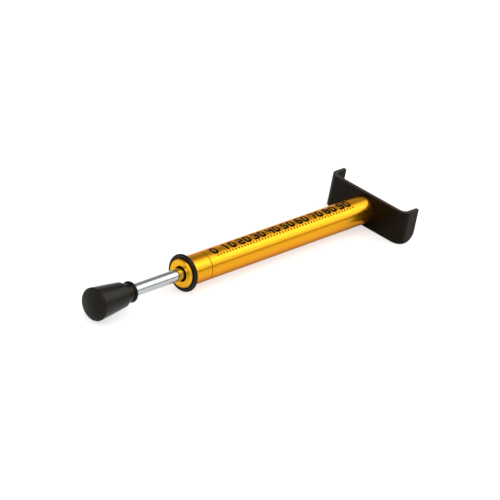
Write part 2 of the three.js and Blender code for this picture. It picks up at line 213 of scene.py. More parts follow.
# The noise grain mixes base and shift, and the noise lines drives roughness and bump, both in waves per mm,
# one number or one for each direction. A look has plainLook's values where it gives none of its own.
plainLook = dict(metal=0.0, roughSpread=0.1, specular=0.5, specularTint=(1, 1, 1), coat=0.0, coatRough=0.03)
looks = {
    # the turned colour is a brighter gold for the cap's face: turned rings and partly a painted brighter
    # reflection
    "gold_anodised": dict(
        base=(0.91, 0.412, 0.004), shift=(0.87, 0.382, 0.003), metal=1.0, rough=0.27, roughSpread=0.04,
        grain=2.5, lines=(0.03, 7.0, 7.0), bump=0.035, coat=0.28, coatRough=0.1,
        specularTint=(1.0, 0.6, 0.02), turning=1.6, turned=(0.97, 0.54, 0.02)),
    "zinc_plate": dict(
        base=(0.57, 0.59, 0.58), shift=(0.52, 0.545, 0.555), metal=1.0, rough=0.12, roughSpread=0.04,
        grain=(1.2, 4.0, 4.0), lines=(0.05, 6.0, 6.0), bump=0.05),
    "bronze": dict(
        base=(0.55, 0.33, 0.14), shift=(0.42, 0.25, 0.11), metal=1.0, rough=0.42,
        grain=9.0, lines=(6.0, 0.8, 0.8), bump=0.18),
    "spring_steel": dict(
        base=(0.34, 0.345, 0.36), shift=(0.24, 0.24, 0.25), metal=1.0, rough=0.33,
        grain=3.0, lines=5.0, bump=0.08),
    "plain_steel": dict(
        base=(0.5, 0.5, 0.51), shift=(0.41, 0.41, 0.42), metal=1.0, rough=0.36,
        grain=2.0, lines=(8.0, 0.6, 0.6), bump=0.12),
    "plain_aluminium": dict(
        base=(0.7, 0.71, 0.72), shift=(0.62, 0.63, 0.64), metal=1.0, rough=0.36, roughSpread=0.08,
        grain=2.0, lines=(9.0, 0.5, 0.5), bump=0.14),
    "black_steel": dict(
        base=(0.028, 0.027, 0.028), shift=(0.045, 0.043, 0.043), metal=0.75, rough=0.36,
        grain=4.0, lines=(6.0, 1.0, 1.0), bump=0.1),
    "nylon": dict(
        base=(0.78, 0.75, 0.66), shift=(0.72, 0.69, 0.6), rough=0.5, roughSpread=0.08,
        grain=1.5, lines=(5.0, 1.0, 1.0), bump=0.08),
    "buffer_rubber": dict(
        base=(0.02, 0.02, 0.02), shift=(0.03, 0.03, 0.029), rough=0.8,
        grain=6.0, lines=9.0, bump=0.25),
    # the worn colour here is a painted highlight on the dome's rim and the cone's side
    "knob_rubber": dict(
        base=(0.0020, 0.0016, 0.0009), shift=(0.0036, 0.0030, 0.0018), rough=0.29, roughSpread=0.05,
        grain=0.5, lines=6.0, bump=0.1, specular=0.19, wornAndHighlight=(0.014, 0.0122, 0.0092),
        specularTint=(1.0, 0.9, 0.72)),
    "ring_rubber": dict(
        base=(0.0022, 0.0021, 0.0028), shift=(0.0040, 0.0039, 0.0050), rough=0.2, roughSpread=0.05,
        grain=2.2, lines=8.0, bump=0.06, specular=0.3, specularTint=(0.85, 0.92, 1.0)),
    # the worn colour here is partly rubbed coat and partly a painted highlight on the rounded edges
    "black_coat": dict(
        base=(0.0040, 0.0022, 0.0008), shift=(0.0090, 0.0060, 0.0032), rough=0.36, roughSpread=0.08,
        grain=0.9, lines=3.2, bump=0.16, specular=0.12, wornAndHighlight=(0.075, 0.064, 0.049),
        specularTint=(1.0, 0.8, 0.6)),
    "printInk": dict(
        base=(0.006, 0.0035, 0.002), shift=(0.010, 0.006, 0.0035), rough=0.5,
        grain=3.0, lines=12.0, bump=0.1, specular=0.03),
}
finishing = dict(grain=(0.35, 0.65), lines=(0.3, 0.7), turning=(0.35, 0.6),  # noise, from and to
                 turningLeast=0.2, wornAndHighlightLeast=0.6, bumpDepth=0.05)
finishes = {}


def feed(tree, node, inputs):
    # Each input, by name or number, takes another node's socket, a number, a list or a colour, as a tuple.
    for place, value in inputs.items():
        socket = node.inputs[place]
        if isinstance(value, bpy.types.NodeSocket):
            tree.links.new(value, socket)
        else:
            socket.default_value = (*value, 1) if isinstance(value, tuple) else value
    return node


def addNode(tree, kind, inputs=None, **settings):
    node = tree.nodes.new(kind)
    for setting, value in settings.items():
        setattr(node, setting, value)
    return feed(tree, node, inputs or {})


def mathOn(tree, operation, *values):  # each a number or a socket
    return addNode(tree, "ShaderNodeMath", dict(enumerate(values)), operation=operation).outputs[0]


def onObject(tree, location, scale):  # Object coordinates, scaled and then moved
    place = addNode(tree, "ShaderNodeTexCoord").outputs["Object"]
    return addNode(tree, "ShaderNodeMapping", {
        "Vector": place, "Location": location, "Scale": scale}).outputs[0]


def noiseOn(tree, perMm, detail=4.0):  # noise on Object coordinates, centred on the barrel's axis
    perMm = np.ones(3) * perMm
    place = onObject(tree, [0, 0, -axisHeight * perMm[2] / mm], (perMm / mm).tolist())
    return addNode(tree, "ShaderNodeTexNoise", {"Vector": place, "Scale": 1, "Detail": detail}).outputs[0]


def ringNoise(tree, perMm, detail=3):  # noise on the distance from the barrel's axis, for turned ends
    across = onObject(tree, [0, 0, -axisHeight], [0, 1, 1])
    radius = addNode(tree, "ShaderNodeVectorMath", {0: across}, operation="LENGTH").outputs["Value"]
    place = mathOn(tree, "MULTIPLY", radius, perMm / mm)
    return addNode(tree, "ShaderNodeTexNoise", {"W": place, "Scale": 1, "Detail": detail},
                   noise_dimensions="1D").outputs[0]


def ranged(tree, value, low, high, newLow, newHigh, kind="LINEAR"):
    inputs = dict(enumerate((value, low, high, newLow, newHigh)))
    return addNode(tree, "ShaderNodeMapRange", inputs, interpolation_type=kind).outputs[0]


def smooth(tree, value, low, high, newLow=0, newHigh=1):
    return ranged(tree, value, low, high, newLow, newHigh, "SMOOTHSTEP")


def mixed(tree, share, first, second):  # a blend of two colours
    return addNode(tree, "ShaderNodeMix", {0: share, 6: first, 7: second}, data_type="RGBA").outputs[2]


def product(tree, *values):
    total = values[0]
    for value in values[1:]:
        total = mathOn(tree, "MULTIPLY", total, value)
    return total


def attribute(tree, name):
    return addNode(tree, "ShaderNodeAttribute", attribute_name=name).outputs["Fac"]


def newMaterial(name):
    material = bpy.data.materials.new(name)
    material.use_nodes = True
    return material, material.node_tree


def makeFinish(name, look):
    # Turned ends and worn-and-lit places, marked on the mesh, blend in a third colour. On the cap's face the
    # turned colour is a brighter gold: turned rings, and partly a painted brighter reflection. The
    # worn-and-lit colour is lighter: on the cradle's rounded edges partly rubbed coat and partly a painted
    # edge highlight, on the knob a painted highlight on the dome's rim and the cone's side.
    look = {**plainLook, **look}
    material, tree = newMaterial(name)
    grain = noiseOn(tree, look["grain"])
    lines = noiseOn(tree, look["lines"], detail=6.0)
    colour = mixed(tree, ranged(tree, grain, *finishing["grain"], 0, 1), look["base"], look["shift"])
    # turned colour: turned rings, and partly a painted brighter reflection on the cap's face
    if "turned" in look:
        rings = ranged(tree, ringNoise(tree, look["turning"]), *finishing["turning"],
                       finishing["turningLeast"], 1)
        colour = mixed(tree, product(tree, attribute(tree, "turnedAndLitShare"), rings), colour, look["turned"])
    # lighter colour: partly rubbed edges, partly painted highlights on edges, the dome's rim and the knob's
    # side
    if "wornAndHighlight" in look:
        patches = ranged(tree, grain, *finishing["grain"], finishing["wornAndHighlightLeast"], 1)
        colour = mixed(tree, product(tree, attribute(tree, "wornAndHighlightShare"), patches), colour, look["wornAndHighlight"])
    rough, spread = look["rough"], look["roughSpread"]
    bump = addNode(tree, "ShaderNodeBump", {
        "Strength": look["bump"], "Distance": finishing["bumpDepth"] * mm, "Height": lines})
    feed(tree, tree.nodes["Principled BSDF"], {
        "Base Color": colour, "Metallic": look["metal"], "Normal": bump.outputs["Normal"],
        "Roughness": ranged(tree, lines, *finishing["lines"], rough - spread, rough + spread),
        "Specular IOR Level": look["specular"], "Specular Tint": look["specularTint"],
        "Coat Weight": look["coat"], "Coat Roughness": look["coatRough"]})
    return material


def finishOf(slot):
    if slot not in finishes:
        finishes[slot] = makeFinish(slot, looks[slot])
    return finishes[slot]


# Barrel and front cap

barrelTubeSizes = dict(wall=1.65, edgeRound=0.15, holeRadius=2.3, holeZone=4.0, toolSpare=2.0)
frontCapSizes = dict(mouthRadius=5.0, mouthDepth=8.0, mouthChamfer=0.42, mouthRound=0.1,
                     faceChamfer=0.8, faceRound=1.2, lineRound=0.45, spigotWall=1.6)


def cutOut(mesh, tool):  # the first mesh without what lies inside the second
    body, cutter = addObject("cutBody", mesh), addObject("cutTool", tool)
    cut = body.modifiers.new("cut", "BOOLEAN")
    cut.object = cutter
    cut.solver = "EXACT"
    result = finalMesh(body)
    for used in (mesh, tool):
        bpy.data.meshes.remove(used)  # its object goes with it
    return result


def pointedDown(rings, x, top):
    # Rings made about the barrel's axis are turned to (radius x cos + x, radius x sin, top - station).
    return np.stack([rings[..., 1] + x, rings[..., 2] - axisHeight, top - rings[..., 0]], 2)


def holeTool(radius, depth, x, top):  # a round bar that points down
    bar = turned(np.array([[0, 0], [0, 1], [1, 1], [1, 0]]) * [depth, radius], roundSteps["hole"])
    return closeUp(ringMesh("holeTool", pointedDown(bar, x, top)))


def barrelTube(sizes):
    # The wall's profile turned about the axis, less the grub screw's hole.
    bore = barrelRadius - sizes["wall"] * mm
    edge, zone = sizes["edgeRound"] * mm, sizes["holeZone"] * mm
    grub = middle("plug_grub_screw").x
    profile = closed(rounded([
        [barrelStart, barrelRadius, edge], [grub - zone, barrelRadius, 0], [grub + zone, barrelRadius, 0],
        [barrelEnd, barrelRadius, edge], [barrelEnd, bore, edge], [grub + zone, bore, 0],
        [grub - zone, bore, 0], [barrelStart, bore, edge]]))
    tube = closeUp(ringMesh("barrelTube", turned(profile)))
    depth = barrelRadius + sizes["toolSpare"] * mm
    mesh = cutOut(tube, holeTool(sizes["holeRadius"] * mm, depth, grub, axisHeight))
    setShare(mesh, "turnedAndLitShare", np.zeros(len(mesh.vertices)))
    addPiece("barrelTube", mesh, "barrel", "gold_anodised", ["barrel_tube"])


def frontCap(sizes):
    # A profile turned about the axis: mouth, face, head, spigot and the pocket for the bush.
    start, end, radius = span("front_cap")
    headEnd = barrelStart - fitGap
    spigot = span("stop_buffer")[2]
    pocket = spigot - sizes["spigotWall"] * mm
    mouth, depth = sizes["mouthRadius"] * mm, start + sizes["mouthDepth"] * mm
    inner, innerRound, outer, outerRound, line = (
        sizes[key] * mm for key in ("mouthChamfer", "mouthRound", "faceChamfer", "faceRound", "lineRound"))
    profile = closed(rounded([
        [start + inner, mouth, innerRound], [start, mouth + inner, innerRound],
        [start, radius - outer, outerRound], [start + outer, radius, outerRound],
        [headEnd, radius, line], [headEnd, spigot, line], [end, spigot, inner], [end, pocket, line],
        [depth, pocket, line], [depth, mouth, line]]))
    rings = turned(profile)
    mesh = ringMesh("frontCap", rings)
    # the face and half its chamfer take the brighter turned gold, partly a painted brighter reflection
    setShare(mesh, "turnedAndLitShare", np.repeat(profile[:, 0] < start + outer / 2, rings.shape[1]))
    addPiece("frontCap", closeUp(mesh), "barrel", "gold_anodised", ["front_cap"])


barrelTube(barrelTubeSizes)
frontCap(frontCapSizes)
print("barrel and cap made")


# Marker ring

markerRingSizes = dict(grip=0.03, steps=40)


def markerRing(sizes):
    # An ellipse turned about the axis: the ring is drawn out a little where it grips the barrel.
    start, end, outer = span("marker_ring")
    inner = barrelRadius + sizes["grip"] * mm
    angle = np.linspace(0, fullTurn, sizes["steps"] + 1)
    station = (start + end) / 2 + (end - start) / 2 * np.sin(angle)
    radius = (inner + outer) / 2 + (outer - inner) / 2 * np.cos(angle)
    rings = turned(np.stack([station, radius], 1))
    addRings("markerRing", rings, "marker_ring", "ring_rubber", ["marker_ring"])


markerRing(markerRingSizes)
print("marker ring made")


# Plunger rod and knob

plungerRodSizes = dict(tip=3.0, tipLength=13.6, tail=2.5, edgeRound=0.35)
knobSizes = dict(wideInset=2.6, edgeRound=1.2, coneLength=23.2, shoulderRadius=8.14, shoulderRound=0.9,
                 neckRadius=5.9, neckRound=0.45, beadRadius=6.9, beadRound=1.4, rodGrip=0.03,
                 rodDepth=12.8, insertFlats=10.6, insertGap=0.3, beadStart=-75, highlightStart=0.35,
                 highlightPower=2, sideHighlight=0.27, beadHighlight=0.0)
knobSteps = dict(dome=24, edge=16, bead=20)


def plungerRod(sizes):
    # A profile turned about the axis: the tip in the knob, the shank, and the tail through the piston.
    start, end, shank = span("plunger_rod")
    tip, tail, edge = (sizes[key] * mm for key in ("tip", "tail", "edgeRound"))
    tipEnd = start + sizes["tipLength"] * mm
    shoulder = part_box("guide_piston")[0].x - fitGap
    profile = rounded([
        [start, 0, 0], [start, tip, edge], [tipEnd, tip, 0], [tipEnd, shank, edge], [shoulder, shank, edge],
        [shoulder, tail, 0], [end, tail, edge], [end, 0, 0]])
    rings = turned(profile, roundSteps["rod"])
    addRings("plungerRod", rings, "plunger", "zinc_plate", ["plunger_rod"])


def knobOutline(sizes, length):
    # A dome that touches the edge's round, the cone's straight side, a shoulder, a neck and a round bead.
    # The dome's half angle is twice the arctangent of its height over the radius where the round begins.
    wide = span("knob")[2] / mm
    capRadius = wide - sizes["edgeRound"]
    domeAngle = np.degrees(2 * np.arctan((sizes["wideInset"] - sizes["edgeRound"]) / capRadius))
    domeRadius = capRadius / np.sin(np.radians(domeAngle)) + sizes["edgeRound"]
    slope = np.degrees(np.arctan((wide - sizes["shoulderRadius"]) / sizes["coneLength"]))
    dome = arc(domeRadius, 0, domeRadius, -90, domeAngle - 90, knobSteps["dome"])
    edge = arc(sizes["wideInset"], capRadius, sizes["edgeRound"], domeAngle - 90, slope, knobSteps["edge"])
    shoulder = sizes["wideInset"] + sizes["coneLength"]
    beadRound = sizes["beadRound"]
    bead = arc(length - beadRound, sizes["beadRadius"] - beadRound, beadRound, sizes["beadStart"], 90,
               knobSteps["bead"])
    waist = rounded([
        [*edge[-1], 0], [shoulder, sizes["shoulderRadius"], sizes["shoulderRound"]],
        [shoulder, sizes["neckRadius"], sizes["neckRound"]],
        [bead[0][0], sizes["neckRadius"], sizes["neckRound"]], [*bead[0], 0]])
    return np.r_[dome, edge[1:], waist[1:-1], bead]


def palmKnob(sizes):
    # The outline, a round hole and a hexagonal pocket, turned about the axis. The dome gets a painted
    # highlight that grows towards its rim: ((radius / largest radius - start) / (1 - start)) to a power,
    # both given in the sizes; the cone's side and the bead each get a flat share of it.
    start, end, _ = span("knob")
    outline = knobOutline(sizes, (end - start) / mm)
    hole = span("plunger_rod")[2] / mm + sizes["rodGrip"]
    pocketEnd = (end - start) / mm - sizes["rodDepth"]
    pocketStart = (span("knob_insert")[0] - start) / mm - sizes["insertGap"]
    flats = sizes["insertFlats"] / 2 + sizes["insertGap"]
    inside = np.array([[outline[-1][0], hole], [pocketEnd, hole], [pocketEnd, flats],
                       [pocketStart, flats], [pocketStart, 0]])
    profile = np.r_[outline, inside] * mm + [start, 0]
    rings = turned(profile, hexagon=np.r_[np.zeros(len(outline) + 2), 1, 1, 0])
    mesh = ringMesh("palmKnob", rings)
    onDome = profile[:, 0] < start + sizes["wideInset"] * mm
    clear, share = sizes["highlightStart"], profile[:, 1] / profile[:, 1].max()
    highlight = ((share - clear) / (1 - clear)).clip(0, 1) ** sizes["highlightPower"]
    highlight = np.where(onDome, highlight, sizes["sideHighlight"])
    highlight[profile[:, 0] > start + (sizes["wideInset"] + sizes["coneLength"]) * mm] = sizes["beadHighlight"]
    # share of the lighter colour, a painted highlight: rising to the dome's rim, even along the cone's side,
    # the bead's own share beyond the shoulder
    setShare(mesh, "wornAndHighlightShare", np.repeat(highlight, rings.shape[1]))
    addPiece("palmKnob", closeUp(mesh), "plunger", "knob_rubber", ["knob"])


plungerRod(plungerRodSizes)
palmKnob(knobSizes)
print("plunger rod and knob made")


# Cradle: a flat strip bent to a U, with rounded tab corners, soft edges and a countersunk hole

cradleSizes = dict(thickness=2.67, bend=6.27, topCorner=0.75, lowCorner=7.6, edgeRound=0.65,
                   holeRadius=2.8, sinkRadius=5.02, screwLand=0.3, blockHalf=7.5, wornAndHighlightReach=1.6,
                   weld=1e-6)
cradleSteps = dict(block=20, beside=6, plate=10, bend=20, tab=2, corner=18, topArc=6, edge=6, hole=8)


def stretches(marks, counts):  # even places from each mark to the next
    runs = [np.linspace(*ends, count + 1)[1:] for *ends, count in zip(marks, marks[1:], counts)]
    return np.concatenate([marks[:1], *runs])


def cradleBlank(sizes, length):
    # The flat strip's lower and upper edge points and their outward directions, from one tab's end to the
    # other's. A corner is an arc: (end - r + r sin a, -half + r - r cos a) below, and alike above.
    low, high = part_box("cradle")
    half = (high.z - low.z) / 2 / mm
    steps = cradleSteps
    straight = stretches(
        [0, sizes["blockHalf"], length["plate"], length["plate"] + length["bend"],
         length["all"] - sizes["lowCorner"]],
        [steps["block"] // 2, steps["plate"], steps["bend"], steps["tab"]])

    def edgeLine(corner, side, arcSteps):
        run = steps["corner"] - arcSteps
        level = np.linspace(length["all"] - sizes["lowCorner"], length["all"] - corner, run + 1)[1:]
        angle = np.linspace(0, np.pi / 2, arcSteps + 1)[1:]
        along = np.r_[straight, level, length["all"] - corner + corner * np.sin(angle)]
        across = np.r_[np.full(len(straight) + len(level), half), half - corner + corner * np.cos(angle)]
        facing = np.r_[np.zeros(len(straight) + len(level)), angle]
        points = np.stack([along, side * across], 1)
        out = np.stack([np.sin(facing), side * np.cos(facing)], 1)
        mirrored = points[:0:-1] * [-1, 1], out[:0:-1] * [-1, 1]
        return np.r_[mirrored[0], points], np.r_[mirrored[1], out]

    lower = edgeLine(sizes["lowCorner"], -1, steps["corner"])
    return lower, edgeLine(sizes["topCorner"], 1, steps["topArc"])


def bent(flat, depth, sizes, length):
    # Bends the blank: (along, across, depth) goes to the middle line's point plus depth along its normal.
    # The middle line runs straight, then round the bend by angle (along - plate) / radius, then straight.
    low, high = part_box("cradle")
    radius = sizes["bend"] - sizes["thickness"] / 2
    along, side = np.abs(flat[:, 0]), np.sign(flat[:, 0])
    angle = np.clip((along - length["plate"]) / radius, 0, np.pi / 2)
    tab = np.maximum(along - length["plate"] - length["bend"], 0)
    x = sizes["bend"] - (radius + depth) * np.cos(angle) + tab
    y = side * (np.minimum(along, length["plate"]) + (radius + depth) * np.sin(angle))
    return np.stack([x * mm + low.x, y * mm, flat[:, 1] * mm + (low.z + high.z) / 2], 1)


def beltCradle(sizes):
    # A face is a grid blended straight from the lower edge line to the upper one. Its middle block is left
    # out for rings that blend from the block's rim to the hole's circle. The edge line moves outwards by
    # soft x sin a while the depth falls by soft x (1 - cos a), for a quarter turn at each face. All of it
    # is laid flat and then bent.
    low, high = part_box("cradle")
    steps = cradleSteps
    length = dict(plate=high.y / mm - sizes["bend"],
                  bend=(sizes["bend"] - sizes["thickness"] / 2) * np.pi / 2)
    length["all"] = length["plate"] + length["bend"] + (high.x - low.x) / mm - sizes["bend"]
    (lower, lowerOut), (upper, upperOut) = cradleBlank(sizes, length)
    soft = sizes["edgeRound"]
    lowerIn, upperIn = lower - lowerOut * soft, upper - upperOut * soft
    halfIn = upperIn[len(upperIn) // 2, 1]
    blockShare = sizes["blockHalf"] / (2 * halfIn)
    share = stretches([0, 0.5 - blockShare, 0.5 + blockShare, 1],
                      [steps["beside"], steps["block"], steps["beside"]])
    face = lowerIn[:, None] * (1 - share[None, :, None]) + upperIn[:, None] * share[None, :, None]
    rows, columns = face.shape[:2]
    index = np.arange(rows * columns).reshape(rows, columns)
    cells = np.stack([index[:-1, :-1], index[1:, :-1], index[1:, 1:], index[:-1, 1:]], 2)
    blockRow, blockColumn = (rows - 1 - steps["block"]) // 2, steps["beside"]
    solid = np.ones(cells.shape[:2], bool)
    solid[blockRow:blockRow + steps["block"], blockColumn:blockColumn + steps["block"]] = False

    def rim(grid):  # the border of an index grid, once round
        return np.r_[grid[:-1, 0], grid[-1, :-1], grid[:0:-1, -1], grid[0, :0:-1]]

    blockRim = rim(index[blockRow:, blockColumn:][:steps["block"] + 1, :steps["block"] + 1])
    flatFace = face.reshape(-1, 2)
    square = flatFace[blockRim]
    turn = np.arctan2(square[0, 1], square[0, 0]) + np.arange(len(square)) * fullTurn / len(square)
    circle = np.stack([np.cos(turn), np.sin(turn)], 1)
    points, faces, edges, start = [], [], [], 0

    def put(newPoints, newFaces, edge):
        nonlocal start
        points.append(newPoints)
        faces.append(newFaces + start)
        edges.append(np.broadcast_to(edge, len(newPoints)))
        start += len(newPoints)

    halfThick = sizes["thickness"] / 2
    for depth, hole in ((halfThick, sizes["holeRadius"]), (-halfThick, sizes["sinkRadius"])):
        put(bent(flatFace, depth, sizes, length), cells[solid], 0)
        t = np.linspace(0, 1, steps["hole"] + 1)[:, None, None]
        patch = (square[None] * (1 - t) + circle[None] * hole * t).reshape(-1, 2)
        put(bent(patch, depth, sizes, length), gridFaces(steps["hole"] + 1, len(square)), 0)

    outRim = np.r_[lowerOut, np.tile([[1.0, 0.0]], (columns - 2, 1)), upperOut[::-1],
                   np.tile([[-1.0, 0.0]], (columns - 2, 1))]
    inRim = flatFace[np.r_[index[:, 0], index[-1, 1:-1], index[::-1, -1], index[0, -2:0:-1]]]
    angle = np.linspace(0, np.pi / 2, steps["edge"] + 1)
    swell = np.r_[np.sin(angle), np.sin(angle[::-1])] * soft
    level = np.r_[halfThick - soft + soft * np.cos(angle), soft - halfThick - soft * np.cos(angle[::-1])]
    flatBand = (inRim[None] + outRim[None] * swell[:, None, None]).reshape(-1, 2)
    # the rounded edges take the lighter colour: partly rubbed coat, partly a painted edge highlight
    wornAndHighlight = np.repeat(np.minimum(swell / soft * sizes["wornAndHighlightReach"], 1), len(inRim))
    band = bent(flatBand, np.repeat(level, len(inRim)), sizes, length)
    put(band, gridFaces(len(level), len(inRim)), wornAndHighlight)

    hole, sink, land = sizes["holeRadius"], sizes["sinkRadius"], sizes["screwLand"] - halfThick
    wall = np.array([[halfThick, hole], [land + sink - hole, hole], [land, sink], [-halfThick, sink]])
    flatWall = (circle[None] * wall[:, 1, None, None]).reshape(-1, 2)
    sunk = bent(flatWall, np.repeat(wall[:, 0], len(circle)), sizes, length)
    put(sunk, gridFaces(len(wall), len(circle)), 0)

    mesh = meshFrom("beltCradle", np.concatenate(points), np.concatenate(faces))
    setShare(mesh, "wornAndHighlightShare", np.concatenate(edges))
    addPiece("beltCradle", closeUp(mesh, sizes["weld"]), "barrel", "black_coat", ["cradle"])


beltCradle(cradleSizes)
print("cradle made")


# Inside the barrel

sleeveEdge = 0.15
sleeves = dict(
    rodBush=dict(node="rod_bush", hole=4.3, slot="bronze", edge=0.3),
    stopBuffer=dict(node="stop_buffer", hole=4.3, slot="buffer_rubber", edge=0.35),
    preloadShim1=dict(node="preload_shim_1", hole=2.8, slot="plain_steel", edge=sleeveEdge),
    preloadShim2=dict(node="preload_shim_2", hole=2.8, slot="plain_steel", edge=sleeveEdge),
    springSeatWasher=dict(node="spring_seat_washer", hole=2.8, slot="zinc_plate", edge=sleeveEdge))


def bodyOf(node):
    return frame["nodes"][node]["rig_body"]


def sleevePiece(name, sizes):
    # A rounded rectangle turned about the axis.
    start, end, radius = span(sizes["node"])
    hole, edge = sizes["hole"] * mm, sizes["edge"] * mm
    profile = closed(rounded([
        [start, hole, edge], [start, radius, edge], [end, radius, edge], [end, hole, edge]]))
    rings = turned(profile, roundSteps["rod"])
    addRings(name, rings, bodyOf(sizes["node"]), sizes["slot"], [sizes["node"]])


for sleeveName, sleeveSizes in sleeves.items():
    sleevePiece(sleeveName, sleeveSizes)

pistonSizes = dict(hole=2.8, edgeRound=0.5, grooveWidth=2.0, grooveDepth=0.6, grooveRound=0.4)
nutSizes = dict(hole=2.8, bevel=0.5, steps=8)
lockSizes = dict(hole=2.8, split=1.0, steps=96, edgeRound=0.15)
insertSizes = dict(hole=3.3, flats=10.6, edgeRound=0.3)
plugSizes = dict(edgeRound=0.35, drillRadius=2.8, drillSpare=1.2, coneDepth=1.4, grubHole=2.3)


def guidePiston(sizes):
    # A bobbin's profile turned about the axis.
    start, end, radius = span("guide_piston")
    centre, half = (start + end) / 2, sizes["grooveWidth"] / 2 * mm
    hole, edge, groove = sizes["hole"] * mm, sizes["edgeRound"] * mm, sizes["grooveRound"] * mm
    floor = radius - sizes["grooveDepth"] * mm
    profile = closed(rounded([
        [start, hole, 0], [start, radius, edge], [centre - half, radius, groove / 2],
        [centre - half, floor, groove], [centre + half, floor, groove], [centre + half, radius, groove / 2],
        [end, radius, edge], [end, hole, 0]]))
    addRings("guidePiston", turned(profile), "plunger", "nylon", ["guide_piston"])


def pistonNut(sizes):
    # Each ring is the lesser of the hexagon and a cone that bevels its corners at both ends.
    low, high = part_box("piston_nut")
    corner = max(high.y - low.y, high.z - low.z) / 2
    flats = corner * np.cos(np.pi / 6)
    angle = np.arange(roundSteps["screw"]) * fullTurn / roundSteps["screw"]
    x = np.r_[low.x, low.x + np.linspace(0, 1, sizes["steps"] + 1) * sizes["bevel"] * mm]
    x = np.r_[x, low.x + high.x - x[::-1]]
    depth = np.minimum(x - low.x, high.x - x)
    cone = corner - sizes["bevel"] * mm + depth
    quarter = np.pi / 2 if high.z - low.z > high.y - low.y else 0
    outer = np.minimum(flats * hexShape(angle[None] + quarter + np.pi / 6), cone[:, None])
    hole = np.full((1, len(angle)), sizes["hole"] * mm)
    radius = np.concatenate([hole, outer[1:-1], hole, hole])
    station = np.r_[low.x, x[1:-1], high.x, low.x]
    rings = np.stack([np.broadcast_to(station[:, None], radius.shape),
                      radius * np.cos(angle), radius * np.sin(angle) + axisHeight], 2)
    addRings("pistonNut", rings, "plunger", "zinc_plate", ["piston_nut"])


def sweptRings(path, across, up, section):
    # Ring i is the section, its two coordinates laid along the directions across and up at path point i.
    # The first and last rings shrink to their middle, so the ends are closed.
    rings = path[:, None] + across[:, None] * section[None, :, :1] + up[:, None] * section[None, :, 1:]
    middles = np.repeat(rings[[0, -1]].mean(1, keepdims=True), rings.shape[1], 1)
    return np.concatenate([middles[:1], rings, middles[1:]])


def lockWasher(sizes):
    # A rounded rectangle carried round the axis through all but the split.
    start, end, radius = span("piston_lock_washer")
    hole, half = sizes["hole"] * mm, (end - start) / 2
    edge = sizes["edgeRound"] * mm
    section = rounded([
        [-half, hole, edge], [-half, radius, edge], [half, radius, edge], [half, hole, edge]])
    gap = sizes["split"] * mm / radius
    angle = np.linspace(gap / 2, fullTurn - gap / 2, sizes["steps"]) + np.pi / 2
    out = np.stack([0 * angle, np.cos(angle), np.sin(angle)], 1)
    path = np.tile([(start + end) / 2, 0, axisHeight], (len(angle), 1))
    rings = sweptRings(path, np.tile([1.0, 0, 0], (len(angle), 1)), out, section)
    addRings("pistonLockWasher", rings, "plunger", "zinc_plate", ["piston_lock_washer"])


def knobInsert(sizes):
    # A profile turned about the axis, round at its hole and a hexagon outside.
    start, end, _ = span("knob_insert")
    hole, flats, edge = sizes["hole"] * mm, sizes["flats"] / 2 * mm, sizes["edgeRound"] * mm
    profile = np.array([[start, hole], [start, flats - edge], [start + edge, flats], [end - edge, flats],
                        [end, flats - edge], [end, hole], [start, hole]])
    rings = turned(profile, roundSteps["screw"], [0, 1, 1, 1, 1, 0, 0])
    addRings("knobInsert", rings, "plunger", "plain_steel", ["knob_insert"])


def rearPlug(sizes):
    # A profile turned about the axis, drilled for the cradle's screw, less the grub screw's hole.
    start, end, radius = span("rear_plug")
    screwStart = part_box("cradle_screw")[0].x - sizes["drillSpare"] * mm
    edge, drill = sizes["edgeRound"] * mm, sizes["drillRadius"] * mm
    profile = rounded([
        [start, 0, 0], [start, radius, edge], [end, radius, edge], [end, drill, edge / 2],
        [screwStart, drill, 0], [screwStart - sizes["coneDepth"] * mm, 0, 0]])
    plug = closeUp(ringMesh("rearPlug", turned(profile)))
    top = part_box("plug_grub_screw")[1].z + fitGap
    tool = holeTool(sizes["grubHole"] * mm, axisHeight, middle("plug_grub_screw").x, top)
    addPiece("rearPlug", cutOut(plug, tool), "barrel", "plain_aluminium", ["rear_plug"])


guidePiston(pistonSizes)
pistonNut(nutSizes)
lockWasher(lockSizes)
knobInsert(insertSizes)
rearPlug(plugSizes)
print("inner pieces made")


# Spring

springSizes = dict(wire=1.6, turns=34, closedTurns=1.5, closedGap=0.5, stepsPerTurn=36, sides=12)


def springCoil(sizes):
    # The wire's middle is (station, radius x cos, radius x sin). The station climbs by the closed pitch in
    # the end turns and evenly in the rest.
    start, end, outer = span("compression_spring")
    wire = sizes["wire"] * mm
    radius = outer - wire / 2
    turn = np.linspace(0, sizes["turns"], sizes["turns"] * sizes["stepsPerTurn"] + 1)
    ends, closedPitch = sizes["closedTurns"], wire + sizes["closedGap"] * mm
    shut = np.minimum(turn, ends) + np.maximum(turn - sizes["turns"] + ends, 0)
    openPitch = (end - start - wire - 2 * ends * closedPitch) / (sizes["turns"] - 2 * ends)
    station = start + wire / 2 + shut * closedPitch + (turn - shut) * openPitch
    angle = turn * fullTurn
    out = np.stack([0 * angle, np.cos(angle), np.sin(angle)], 1)
    path = out * radius + np.stack([station, 0 * station, 0 * station + axisHeight], 1)
    around = np.arange(sizes["sides"]) * fullTurn / sizes["sides"]
    section = np.stack([np.sin(around), np.cos(around)], 1) * wire / 2
    rings = sweptRings(path, np.tile([1.0, 0, 0], (len(turn), 1)), out, section)
    return addRings("compressionSpring", rings, "barrel", "spring_steel", ["compression_spring"])


spring = springCoil(springSizes)
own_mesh(spring)
print("spring made")


# Screws

cradleScrewSizes = dict(thread=2.5, tipChamfer=0.35, land=0.3, headRound=0.12, socket=1.5, socketDepth=1.7)
grubScrewSizes = dict(thread=2.0, socket=1.0, socketDepth=2.2, edgeRound=0.35)


